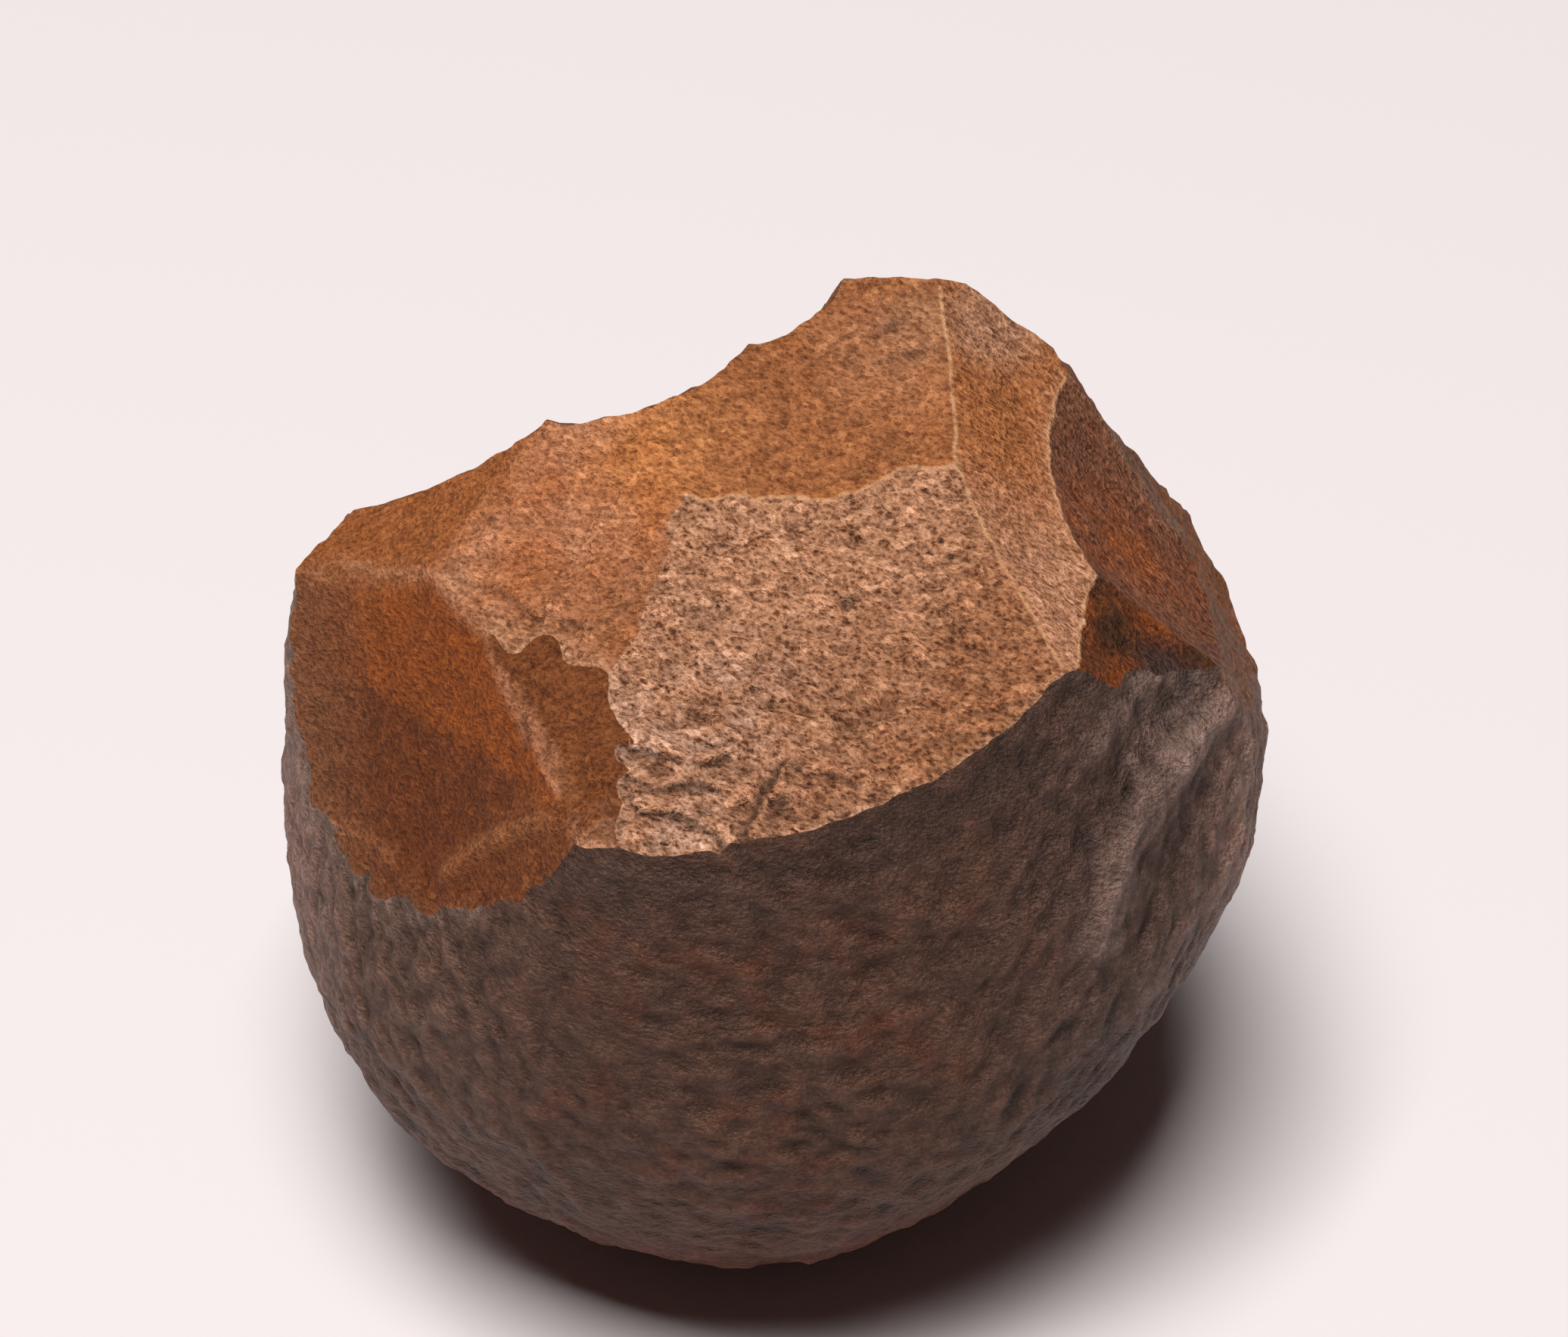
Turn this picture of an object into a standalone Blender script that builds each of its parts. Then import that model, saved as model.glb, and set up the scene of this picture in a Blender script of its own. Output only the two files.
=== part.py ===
"""Chopping tool: a river cobble whose top was struck off in flakes to leave a scalloped working edge.

The stone stands on its worn underside with the working edge up, at the back.
Sizes are in millimetres and are scaled to metres where a mesh is made.
"""

import math

import bmesh
import bpy
from mathutils import Matrix, Vector

MM = 0.001

# The cobble before flaking, as half-sizes about its centre
COBBLE_CENTRE_Z = 40.0
HALF_WIDTH = 46.7
HALF_DEPTH = 40.3
HALF_HEIGHT_UP = 72.1
HALF_HEIGHT_DOWN = 41.4
COBBLE_FINENESS = 5

# Broad flats worn on the cobble: azimuth and elevation they face, distance from the centre
WORN_FLATS = (
    (-23.0, -27.0, 38.5),
    (-49.0, -37.0, 39.4),
    (-75.0, 17.0, 39.6),
    (-50.0, 29.0, 43.9),
    (6.0, 0.0, 46.6),
    (-146.0, 29.0, 42.2),
    (183.0, -9.0, 46.7),
)
WORN_SHARPNESS = 14.0

# Flake scars: name, a point on the floor, azimuth and elevation it faces,
# and how hollow it is across and along, as radii of curvature
FLAKE_SCARS = (
    ("scar_middle", (5.6, -13.4, 73.4), -112.5, 73.6, 243.0, 197.0),
    ("scar_crown", (16.7, 0.8, 80.0), -151.8, 75.0, 87.0, 135.0),
    ("scar_strip", (15.6, 1.9, 80.0), -22.1, 67.1, 181.0, 142.0),
    ("scar_wedge", (-14.1, -16.2, 71.5), -145.2, 60.4, 102.0, 145.0),
    ("scar_left", (-36.3, -9.3, 57.0), -145.1, 39.3, 132.0, 169.0),
    ("scar_left_foot", (-22.7, -29.0, 60.2), -156.1, 39.1, 58.0, 70.0),
    ("scar_shoulder", (-14.3, -15.7, 71.5), -160.8, 71.7, 99.0, 183.0),
    ("scar_left_top", (-30.5, 1.8, 70.3), -179.2, 59.0, 124.0, 185.0),
    ("scar_right", (23.9, 5.1, 77.8), -5.9, 44.8, 38.0, 95.0),
    ("scar_right_low", (28.1, -5.7, 74.8), -21.1, 46.8, 52.0, 38.0),
    ("scar_right_edge", (34.7, 8.5, 69.4), 12.2, 40.4, 41.0, 68.0),
    ("back_corner_low", (-44.0, 3.1, 57.5), 180.7, 10.2, 61.0, 57.0),
    ("back_corner", (-41.9, 7.2, 64.3), 150.0, 27.0, 50.0, 62.0),
    ("back_left", (-35.4, 11.4, 68.5), 108.0, 44.0, 36.0, 117.0),
    ("back_left_notch", (-26.9, 10.7, 74.3), 100.8, 27.5, 13.0, 71.0),
    ("back_shelf", (-17.2, 11.1, 78.3), 95.7, 49.3, 22.0, 121.0),
    ("back_notch_a", (-6.2, 14.4, 80.1), 130.2, 25.5, 14.0, 59.0),
    ("back_notch_b", (-0.9, 18.4, 81.4), 106.2, 34.8, 8.0, 90.0),
    ("back_notch_c", (2.4, 19.6, 83.0), 130.9, 28.6, 11.0, 75.0),
    ("back_peak", (12.6, 23.2, 84.8), 84.7, 22.5, 50.0, 120.0),
    ("back_right", (22.5, 18.4, 83.5), 47.0, 33.0, 68.0, 85.0),
    ("back_right_a", (29.6, 13.4, 77.7), 43.5, 24.3, 19.0, 85.0),
    ("back_right_b", (34.4, 8.0, 72.6), 29.0, 24.0, 24.0, 85.0),
    ("back_end", (37.8, 1.3, 69.4), 23.0, 19.0, 26.0, 81.0),
    ("back_rim", (40.1, 5.1, 61.8), 3.0, 30.0, 112.0, 59.0),
    ("old_dent", (32.3, -16.2, 66.8), -31.0, 33.0, 14.0, 32.0),
)
SCOOP_DEPTH = 40.0
SCOOP_FINENESS = 5

GROUND_BLOCK = 120.0
BOX_CENTRE = (-0.4, 0.37)

COLOUR = (0.085, 0.052, 0.038, 1.0)
ROUGHNESS = 0.62
METALLIC = 0.0


def clear_scene():
    """Remove every object that the startup scene holds."""
    for obj in list(bpy.data.objects):
        bpy.data.objects.remove(obj, do_unlink=True)


def facing(azimuth, elevation):
    """Unit direction with this azimuth and elevation, in degrees."""
    a = math.radians(azimuth)
    e = math.radians(elevation)
    return Vector((math.cos(e) * math.cos(a), math.cos(e) * math.sin(a), math.sin(e)))


def cobble_radius(direction):
    """Distance from the centre to the worn surface of the cobble along a direction."""
    half_height = HALF_HEIGHT_UP if direction.z > 0.0 else HALF_HEIGHT_DOWN
    oval = math.sqrt(
        (direction.x / HALF_WIDTH) ** 2 + (direction.y / HALF_DEPTH) ** 2 + (direction.z / half_height) ** 2
    )
    total = oval**WORN_SHARPNESS
    for azimuth, elevation, distance in WORN_FLATS:
        reach = direction.dot(facing(azimuth, elevation)) / distance
        if reach > 0.0:
            total += reach**WORN_SHARPNESS
    return total ** (-1.0 / WORN_SHARPNESS)


def new_object(name, bm, collection):
    """Object that holds the mesh, linked to the collection."""
    mesh = bpy.data.meshes.new(name)
    bmesh.ops.recalc_face_normals(bm, faces=bm.faces)
    bm.to_mesh(mesh)
    bm.free()
    obj = bpy.data.objects.new(name, mesh)
    collection.objects.link(obj)
    return obj


def stone_place():
    """Where the cobble centre stands, so that the finished box is centred on the origin."""
    return Vector((-BOX_CENTRE[0], -BOX_CENTRE[1], COBBLE_CENTRE_Z))


def make_cobble(collection):
    """The whole cobble, from a round ball drawn in to its worn form."""
    bm = bmesh.new()
    bmesh.ops.create_icosphere(bm, subdivisions=COBBLE_FINENESS, radius=1.0)
    for vert in bm.verts:
        direction = vert.co.normalized()
        vert.co = (stone_place() + direction * cobble_radius(direction)) * MM
    return new_object("chopping_tool", bm, collection)


def make_scoop(name, floor, azimuth, elevation, across, along, collection):
    """Oval ball that cuts one flake scar, with the hollow that its radii give."""
    out = facing(azimuth, elevation)
    side = Vector((-math.sin(math.radians(azimuth)), math.cos(math.radians(azimuth)), 0.0))
    up = out.cross(side)
    centre = Vector(floor) + out * SCOOP_DEPTH - Vector((BOX_CENTRE[0], BOX_CENTRE[1], 0.0))
    half_across = math.sqrt(across * SCOOP_DEPTH)
    half_along = math.sqrt(along * SCOOP_DEPTH)
    turn = Matrix((side * half_across, up * half_along, out * SCOOP_DEPTH)).transposed()
    bm = bmesh.new()
    bmesh.ops.create_icosphere(bm, subdivisions=SCOOP_FINENESS, radius=1.0)
    for vert in bm.verts:
        vert.co = (centre + turn @ vert.co) * MM
    return new_object(name, bm, collection)


def make_ground_block(collection):
    """Block below the resting plane, which leaves the small flat the stone stands on."""
    bm = bmesh.new()
    bmesh.ops.create_cube(bm, size=1.0)
    for vert in bm.verts:
        vert.co = (vert.co - Vector((0.0, 0.0, 0.5))) * GROUND_BLOCK * MM
    return new_object("ground_block", bm, collection)


def cut(body, cutter):
    """Take the cutter away from the body."""
    cutter.display_type = "WIRE"
    cutter.hide_render = True
    boolean = body.modifiers.new(cutter.name, "BOOLEAN")
    boolean.operation = "DIFFERENCE"
    boolean.solver = "EXACT"
    boolean.object = cutter


def stone_material():
    """Dark brown-grey weathered quartzite."""
    material = bpy.data.materials.new("weathered_quartzite")
    material.use_nodes = True
    shader = material.node_tree.nodes["Principled BSDF"]
    shader.inputs["Base Color"].default_value = COLOUR
    shader.inputs["Roughness"].default_value = ROUGHNESS
    shader.inputs["Metallic"].default_value = METALLIC
    material.diffuse_color = COLOUR
    return material


def build():
    """Make the cobble and strike every flake from it."""
    clear_scene()
    parts = bpy.data.collections.new("chopping_tool")
    cutters = bpy.data.collections.new("cutters")
    for collection in (parts, cutters):
        bpy.context.scene.collection.children.link(collection)
    cutters.hide_render = True
    body = make_cobble(parts)
    body.data.materials.append(stone_material())
    for name, floor, azimuth, elevation, across, along in FLAKE_SCARS:
        cut(body, make_scoop(name, floor, azimuth, elevation, across, along, cutters))
    cut(body, make_ground_block(cutters))


build()
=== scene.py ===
"""Chopping tool: the flaked cobble as a fine mesh, with its worn skin, its flake scars and soft studio light.

The stone's surface is worked out along rays from the cobble's centre. Each ray stops at the worn skin
or at the first flake scar it meets. Sizes are in millimetres and are scaled to metres at the end.
"""

import math
from itertools import product

import bpy
import numpy as np
from mathutils import Euler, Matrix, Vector
from mathutils.kdtree import KDTree


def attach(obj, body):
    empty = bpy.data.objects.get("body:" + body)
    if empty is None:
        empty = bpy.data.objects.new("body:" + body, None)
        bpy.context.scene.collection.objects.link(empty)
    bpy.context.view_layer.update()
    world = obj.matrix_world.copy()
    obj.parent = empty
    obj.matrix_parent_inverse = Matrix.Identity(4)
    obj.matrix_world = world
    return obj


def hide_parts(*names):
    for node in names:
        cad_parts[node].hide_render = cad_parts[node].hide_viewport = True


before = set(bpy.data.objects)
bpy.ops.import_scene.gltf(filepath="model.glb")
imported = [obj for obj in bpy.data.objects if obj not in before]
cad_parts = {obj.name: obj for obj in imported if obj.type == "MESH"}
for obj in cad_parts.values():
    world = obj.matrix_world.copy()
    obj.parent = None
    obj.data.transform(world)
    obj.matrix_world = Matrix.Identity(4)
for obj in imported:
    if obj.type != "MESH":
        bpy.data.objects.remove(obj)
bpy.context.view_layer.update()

MM = 0.001

# Cobble: centre, half-sizes, flats worn on it and how sharply they meet. A fitting script found the
# half-sizes, the flats and the scars below from the outline and ridges traced in the photo
CENTRE = np.array((0.4, -0.37, 40.0))
HALF_WIDTH = 46.7
HALF_DEPTH = 40.3
HALF_HEIGHT_UP = 72.1
HALF_HEIGHT_DOWN = 41.4
WORN_FLATS = (
    (-23.0, -27.0, 38.5),
    (-49.0, -37.0, 39.4),
    (-75.0, 17.0, 39.6),
    (-50.0, 29.0, 43.9),
    (6.0, 0.0, 46.6),
    (-146.0, 29.0, 42.2),
    (183.0, -9.0, 46.7),
)
WORN_SHARPNESS = 14.0

# Flake scars: name, floor point from the cobble's foot, azimuth and elevation faced,
# radii of curvature across and along. Six rows were changed after the fit
SCARS = (
    ("middle", (5.6, -13.4, 73.4), -112.5, 73.6, 243.0, 197.0),
    ("crown", (16.7, 0.8, 80.0), -151.8, 75.0, 87.0, 135.0),
    ("strip", (15.6, 1.9, 80.0), -22.1, 67.1, 181.0, 142.0),
    ("wedge", (-14.1, -16.2, 71.5), -145.2, 60.4, 102.0, 145.0),
    ("left", (-36.3, -9.3, 57.0), -145.1, 39.3, 132.0, 169.0),
    ("left_foot", (-22.7, -29.0, 60.2), -156.1, 39.1, 58.0, 70.0),
    ("shoulder", (-14.3, -15.7, 71.5), -160.8, 71.7, 99.0, 183.0),
    ("left_top", (-30.5, 1.8, 70.3), -179.2, 59.0, 124.0, 185.0),
    ("right", (23.9, 5.1, 77.8), -5.9, 44.8, 38.0, 95.0),
    ("right_low", (28.1, -5.7, 74.8), -21.1, 46.8, 52.0, 38.0),
    ("right_edge", (34.7, 8.5, 69.4), 12.2, 40.4, 41.0, 68.0),
    ("back_corner_low", (-44.0, 3.1, 57.5), 180.7, 10.2, 61.0, 57.0),
    ("back_corner", (-41.9, 7.2, 64.3), 150.0, 27.0, 50.0, 62.0),
    ("back_left", (-35.4, 11.4, 68.5), 108.0, 44.0, 36.0, 117.0),
    ("back_left_notch", (-26.9, 10.7, 74.3), 100.8, 27.5, 13.0, 71.0),
    ("back_shelf", (-17.2, 11.1, 78.3), 95.7, 49.3, 22.0, 121.0),
    ("back_notch_a", (-6.2, 14.4, 80.1), 130.2, 25.5, 14.0, 59.0),
    ("back_notch_b", (-0.9, 18.4, 81.4), 106.2, 34.8, 8.0, 90.0),
    ("back_notch_c", (2.4, 19.6, 83.0), 130.9, 28.6, 11.0, 75.0),
    ("back_peak", (12.6, 23.2, 84.8), 84.7, 22.5, 50.0, 120.0),
    ("back_right", (22.5, 18.4, 83.5), 47.0, 33.0, 68.0, 85.0),
    ("back_right_a", (29.6, 13.4, 77.7), 43.5, 24.3, 19.0, 85.0),
    ("back_right_b", (34.4, 8.0, 72.6), 29.0, 24.0, 24.0, 85.0),
    ("back_end", (37.8, 1.3, 69.4), 23.0, 19.0, 26.0, 81.0),
    ("back_rim", (40.1, 5.1, 61.8), 3.0, 30.0, 112.0, 59.0),
    ("dent", (32.3, -16.2, 66.8), -31.0, 33.0, 14.0, 32.0),
)
SCOOP_DEPTH = 40.0
ZONES = ["skin"] + [scar[0] for scar in SCARS]
ZONE = {name: i for i, name in enumerate(ZONES)}

# Ridges that are worn round: the two zones and how much of the gap between them is rounded away
EDGE_WEAR = 0.12
SOFT_RIDGES = (
    ("crown", "shoulder", 0.5),
    ("shoulder", "left_top", 0.8),
    ("left", "left_top", 1.5),
    ("left", "shoulder", 0.7),
    ("left", "wedge", 0.4),
    ("left", "left_foot", 0.5),
    ("wedge", "left_foot", 0.4),
    ("skin", "dent", 2.0),
    ("skin", "back_rim", 1.2),
    ("skin", "back_corner_low", 1.5),
    ("right", "right_edge", 0.3),
)

# Relief in millimetres: swells, knobs, grains and fine grains of each zone; back scars share one row
RELIEF = {
    "skin": (0.34, 0.22, 0.12, 0.10),
    "dent": (0.25, 0.30, 0.14, 0.10),
    "middle": (0.30, 0.34, 0.36, 0.30),
    "crown": (0.36, 0.30, 0.24, 0.18),
    "strip": (0.18, 0.18, 0.18, 0.14),
    "wedge": (0.40, 0.40, 0.26, 0.18),
    "left": (0.42, 0.30, 0.18, 0.13),
    "left_foot": (0.30, 0.32, 0.22, 0.15),
    "shoulder": (0.48, 0.52, 0.26, 0.18),
    "left_top": (0.20, 0.22, 0.17, 0.12),
    "right": (0.30, 0.30, 0.20, 0.14),
    "right_low": (0.35, 0.45, 0.26, 0.18),
    "right_edge": (0.24, 0.26, 0.18, 0.13),
    "back": (0.28, 0.42, 0.24, 0.16),
}

# Painted shading: how much the tone darkens in hollows as painted shade and lightens on crests as painted
# light, for each millimetre
PAINTED_SHADING_STRENGTH = 0.95

# The way the grain of the fracture runs
GRAIN_RUN = (0.82, -0.55, -0.06)

# Small steps in the stone, higher on the left of the path: zone, path, height, how far back the rise runs
LEDGE = ((-10.7, -29.1), (-7.5, -29.9), (-5.9, -30.5), (-4.6, -31.5), (-4.1, -32.6), (-3.5, -34.5))
STEPS = (
    ("middle", LEDGE, 1.00, 2.6),
    ("middle", ((-13.4, -22.2), (-12.0, -22.8), (-9.5, -23.8), (-5.6, -24.4), (-3.6, -24.1)), 0.75, 3.0),
    ("middle", ((-12.5, -25.6), (-9.8, -26.8), (-7.5, -26.4), (-3.7, -27.9)), 0.70, 2.2),
    ("middle", ((1.3, -25.2), (0.3, -27.4), (-1.0, -29.6), (-2.0, -33.5)), 0.80, 2.2),
    ("middle", ((2.0, -24.8), (4.5, -26.0), (7.5, -27.6)), 0.45, 2.0),
    ("middle", ((16.0, -21.8), (18.5, -21.6), (21.5, -20.6), (24.0, -19.5)), 0.30, 2.0),
    ("middle", ((9.0, -27.0), (12.0, -24.8), (15.0, -24.0), (18.0, -23.5)), 0.28, 2.0),
    ("wedge", ((-20.8, -17.5), (-20.4, -21.5), (-18.9, -25.0)), 0.50, 1.6),
    ("shoulder", ((-27.0, -1.5), (-23.5, -3.5), (-20.0, -7.5)), 0.35, 2.2),
    ("shoulder", ((-19.0, -7.0), (-15.5, -9.5), (-12.5, -8.0)), 0.30, 2.0),
    ("crown", ((7.5, 16.6), (10.5, 15.4), (14.0, 16.0)), 0.20, 2.5),
)

# Lines on the left scar: the fold at its foot and the streak beside the skin
FOOT_FOLD = ((-28.0, -23.9, 56.5), (-24.6, -24.4, 60.1), (-21.2, -25.8, 63.5), (-18.1, -28.0, 66.2))
LEFT_STREAK = ((-38.8, -13.3, 51.8), (-37.0, -15.0, 52.5), (-34.4, -17.4, 53.4), (-33.0, -19.9, 53.5))
# Line along the top of the left scar that carries a painted highlight
TOP_RIM_HIGHLIGHT = ((-38.5, 6.3, 65.7), (-34.9, 2.8, 67.5), (-29.4, -0.9, 70.6), (-27.7, -3.8, 70.2))
# Lines on the skin's right: its ridge in two lengths, which carries a painted highlight, the trough and the
# streak on the ridge's left, and the hollow and the rib on its right; the trough and the hollow carry painted
# shade
RIDGE_TOP = ((42.3, -7.5, 61.8), (39.8, -11.4, 64.5), (38.2, -13.7, 64.1), (35.6, -16.9, 63.4))
RIDGE_FOOT = ((35.6, -16.9, 63.4), (33.4, -19.9, 62.4), (30.4, -24.0, 59.4), (28.4, -28.2, 52.5))
TROUGH = ((36.6, -11.5, 68.2), (34.6, -14.0, 67.0), (31.4, -19.0, 66.7), (27.4, -24.8, 61.8))
STREAK = ((33.9, -12.1, 69.6), (31.4, -15.5, 69.6), (28.0, -21.0, 68.4))
HOLLOW = ((40.2, -12.8, 61.4), (38.4, -16.2, 60.0), (35.4, -21.3, 56.6))
RIB = ((42.2, -9.5, 60.0), (42.0, -11.3, 58.2), (41.6, -14.4, 53.0), (40.2, -17.4, 51.1))
# Lines on the skin that only its tone shows
PALE_FOOT = ((38.8, -19.8, 48.7), (36.1, -23.4, 45.8), (33.4, -26.4, 44.1))
BROWN_STRIP = ((43.2, -6.5, 60.5), (43.8, -9.0, 54.0), (43.6, -9.5, 47.0))
UNDER_RIM = ((-18.0, -33.5, 64.5), (5.3, -33.0, 65.7), (21.4, -24.8, 69.2))

# Small ridges, or grooves where the height is negative: zones, path, height, half-width
RIDGES = (
    (("left", "left_foot"), FOOT_FOLD, 0.55, 1.1),
    (("left",), LEFT_STREAK, 0.30, 0.8),
    (("skin", "dent"), RIDGE_TOP, 0.90, 1.6),
    (("skin", "dent"), RIDGE_FOOT, 1.00, 2.2),
    (("skin", "dent"), TROUGH, -0.55, 1.8),
    (("skin",), HOLLOW, -0.60, 1.8),
    (("skin",), RIB, 0.40, 0.9),
    (("skin", "dent"), STREAK, 0.35, 1.2),
)

# Small pits, or bulges where the depth is negative: point, radius, depth
PITS = (
    ((0.8, -29.4, 69.3), 0.9, 0.9),
    ((6.7, -9.4, 74.7), 0.6, 0.7),
    ((10.9, 18.4, 83.0), 0.8, 0.5),
    ((9.2, 17.2, 82.5), 0.6, 0.4),
    ((-5.5, -10.8, 72.9), 0.8, 0.5),
    ((17.2, -17.0, 72.3), 1.0, 0.6),
    ((6.0, 21.8, 84.6), 2.2, 0.9),
    ((-44.3, 3.0, 59.2), 6.0, -0.9),
    ((-41.4, 7.4, 66.6), 4.2, -1.1),
    ((-46.0, 0.0, 50.0), 3.6, 0.6),
    ((30.4, 15.5, 77.0), 1.5, 0.6),
    ((35.0, 9.0, 72.6), 1.6, 0.6),
    ((39.4, 4.0, 67.6), 1.6, 0.5),
)

# Small hollows of one scar alone, which push its rim outwards: scar, point, radius, depth
SCAR_PITS = (
    ("wedge", (-19.5, -10.2, 71.0), 2.4, 0.7),
    ("middle", (11.1, 2.6, 79.1), 2.8, 0.35),
    ("left", (-25.5, -8.0, 69.2), 2.5, 0.4),
)

# Painted highlights along rims, paler than the scar they edge: scar, its neighbour, colour as it looks on a
# screen, strength, width
RIM_HIGHLIGHTS = (
    ("shoulder", "left", (186, 132, 98), 0.75, 0.55),
    ("shoulder", "wedge", (186, 134, 100), 0.75, 0.45),
    ("wedge", "left", (184, 126, 92), 0.85, 0.55),
    ("wedge", "skin", (180, 124, 92), 0.80, 0.90),
    ("middle", "wedge", (186, 140, 110), 0.60, 0.50),
    ("left_top", "left", (172, 116, 82), 0.55, 0.70),
    ("middle", "skin", (180, 134, 104), 0.50, 0.40),
    ("strip", "right", (188, 128, 90), 0.75, 0.50),
    ("strip", "right_low", (190, 136, 102), 0.75, 0.50),
    ("strip", "middle", (178, 114, 68), 0.50, 0.15),
    ("crown", "middle", (190, 116, 60), 0.55, 0.12),
    ("right", "right_edge", (150, 108, 82), 0.50, 0.20),
    ("right", "back_right_a", (140, 100, 76), 0.50, 0.60),
    ("left", "skin", (138, 88, 56), 0.40, 0.50),
    ("skin", "left", (132, 108, 94), 0.50, 0.60),
)

# Ridges whose crest carries a painted highlight, a thin pale line
HIGHLIT_CRESTS = (
    ("crown", "strip"),
    ("middle", "strip"),
    ("strip", "right"),
    ("crown", "middle"),
    ("strip", "right_low"),
)

# Grain of the material in millimetres
CRYSTAL_SIZE = 0.34
FACET_SIZE = 0.46
COARSE_SIZE = 0.75
BUMP_DEPTH = 0.8

# Mesh fineness: squares along each side of the cube that is blown up to a ball
SQUARES = 128

CAMERA_TARGET = (1.2, 8.93, 50.4)
CAMERA_DISTANCE = 500.0
CAMERA_ELEVATION = 42.0
CAMERA_LENS = 125.0

# Floor, light and surroundings, in metres and watts
FLOOR_HALF = 3.0
FLOOR_COLOUR = (0.82, 0.765, 0.765)
LIGHT_PLACE = (-0.20, -0.46, 2.10)
LIGHT_AIM = (0.0, 0.0, 0.03)
LIGHT_SIZE = 0.92
LIGHT_POWER = 55.0
LIGHT_COLOUR = (1.0, 0.99, 0.985)
SURROUND_COLOUR = (1.0, 0.74, 0.70, 1.0)
SURROUND_STRENGTH = 0.036


def facing(azimuth, elevation):
    """Unit direction with this azimuth and elevation, in degrees."""
    a = math.radians(azimuth)
    e = math.radians(elevation)
    return np.array((math.cos(e) * math.cos(a), math.cos(e) * math.sin(a), math.sin(e)))


# Random fields and helpers

LATTICE = np.random.default_rng(11).normal(size=(256, 3))
LATTICE /= np.linalg.norm(LATTICE, axis=1)[:, None]


def noise(points, size, seed):
    """Smooth random values, about -1 to 1, whose bumps have this size."""
    at = points / size + seed * 13.7
    cell = np.floor(at).astype(np.int64)
    part = at - cell
    ease = part**3 * (part * (part * 6.0 - 15.0) + 10.0)
    total = np.zeros(len(points))
    for corner in product((0, 1), repeat=3):
        offset = np.array(corner)
        key = (cell + offset) * np.array((73856093, 19349663, 83492791))
        mixed = key[:, 0] ^ key[:, 1] ^ key[:, 2] ^ (seed * 2654435761)
        mixed = (mixed ^ (mixed >> 13)) * 1274126177
        arrow = LATTICE[(mixed ^ (mixed >> 16)) & 255]
        weight = np.prod(np.where(offset, ease, 1.0 - ease), axis=1)
        total += weight * np.einsum("ij,ij->i", arrow, part - offset)
    return total * 1.7


def drawn_out(points, along, ratio):
    """Points squeezed along a direction, so that a field read there is drawn out that way."""
    unit = np.array(along) / np.linalg.norm(along)
    return points - np.outer(points @ unit, unit) * (1.0 - 1.0 / ratio)


def ramp(value, low, high):
    """0 below low, 1 above high and eased between."""
    s = np.clip((value - low) / (high - low), 0.0, 1.0)
    return s * s * (3.0 - 2.0 * s)


def near_path(points, path):
    """Distance of each point from a path, signed positive on its left, and how far past its ends it lies."""
    best = np.full(len(points), 1e9)
    side = np.ones(len(points))
    past = np.zeros(len(points))
    outward = points - CENTRE
    for i, (start, end) in enumerate(zip(path[:-1], path[1:])):
        run = np.array(end) - np.array(start)
        length = np.linalg.norm(run)
        at = (points - np.array(start)) @ (run / length)
        off = points - np.array(start) - np.outer(np.clip(at, 0.0, length), run / length)
        away = np.linalg.norm(off, axis=1)
        left = np.einsum("ij,ij->i", np.cross(run / length, off), outward) >= 0.0
        over = np.maximum(-at if i == 0 else 0.0, at - length if i == len(path) - 2 else 0.0)
        closer = away < best
        best = np.where(closer, away, best)
        side = np.where(closer, np.where(left, 1.0, -1.0), side)
        past = np.where(closer, np.maximum(over, 0.0), past)
    return best * side, past


# Form of the stone


def skin_distance(rays):
    """Distance along each ray to the worn skin of the whole cobble."""
    half_height = np.where(rays[:, 2] > 0.0, HALF_HEIGHT_UP, HALF_HEIGHT_DOWN)
    x, y, z = rays.T
    oval = np.sqrt((x / HALF_WIDTH) ** 2 + (y / HALF_DEPTH) ** 2 + (z / half_height) ** 2)
    total = oval**WORN_SHARPNESS
    for azimuth, elevation, distance in WORN_FLATS:
        total += np.maximum(rays @ facing(azimuth, elevation) / distance, 0.0) ** WORN_SHARPNESS
    return total ** (-1.0 / WORN_SHARPNESS)


def scar_distance(rays, scar):
    """Distance along each ray to the ball that scooped a scar, or very far where it misses."""
    _, floor, azimuth, elevation, across, along = scar
    out = facing(azimuth, elevation)
    side = np.array((-math.sin(math.radians(azimuth)), math.cos(math.radians(azimuth)), 0.0))
    up = np.cross(out, side)
    half_across = math.sqrt(across * SCOOP_DEPTH)
    half_along = math.sqrt(along * SCOOP_DEPTH)
    turn = np.array((side / half_across, up / half_along, out / SCOOP_DEPTH))
    middle = turn @ (np.array(floor) - np.array((0.0, 0.0, CENTRE[2])) + out * SCOOP_DEPTH)
    ray = rays @ turn.T
    a = np.einsum("ij,ij->i", ray, ray)
    b = ray @ middle
    c = middle @ middle - 1.0
    inside = b * b - a * c
    near = (b - np.sqrt(np.maximum(inside, 0.0))) / a
    return np.where((inside > 0.0) & (near > 0.0), near, 1e6)


def wrinkles(points, size, seed):
    """Field drawn out as the skin's wrinkles run: down to the right on the left side, steep on the right."""
    left = noise(drawn_out(points, (0.6, 0.0, -0.8), 2.8), size, seed)
    front = noise(drawn_out(points, (0.96, 0.0, -0.28), 2.4), size, seed + 1)
    right = noise(drawn_out(points, (0.5, 0.25, 0.83), 2.8), size, seed + 2)
    to_front = ramp(points[:, 0], -22.0, -4.0)
    to_right = ramp(points[:, 0], 8.0, 24.0)
    return left * (1.0 - to_front) + front * to_front * (1.0 - to_right) + right * to_right


def dimple(points, place, radius):
    """1 at a place and falling smoothly to 0 round it."""
    away = np.linalg.norm(points - np.array(place), axis=1)
    return np.exp(-((away / radius) ** 2))


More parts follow.
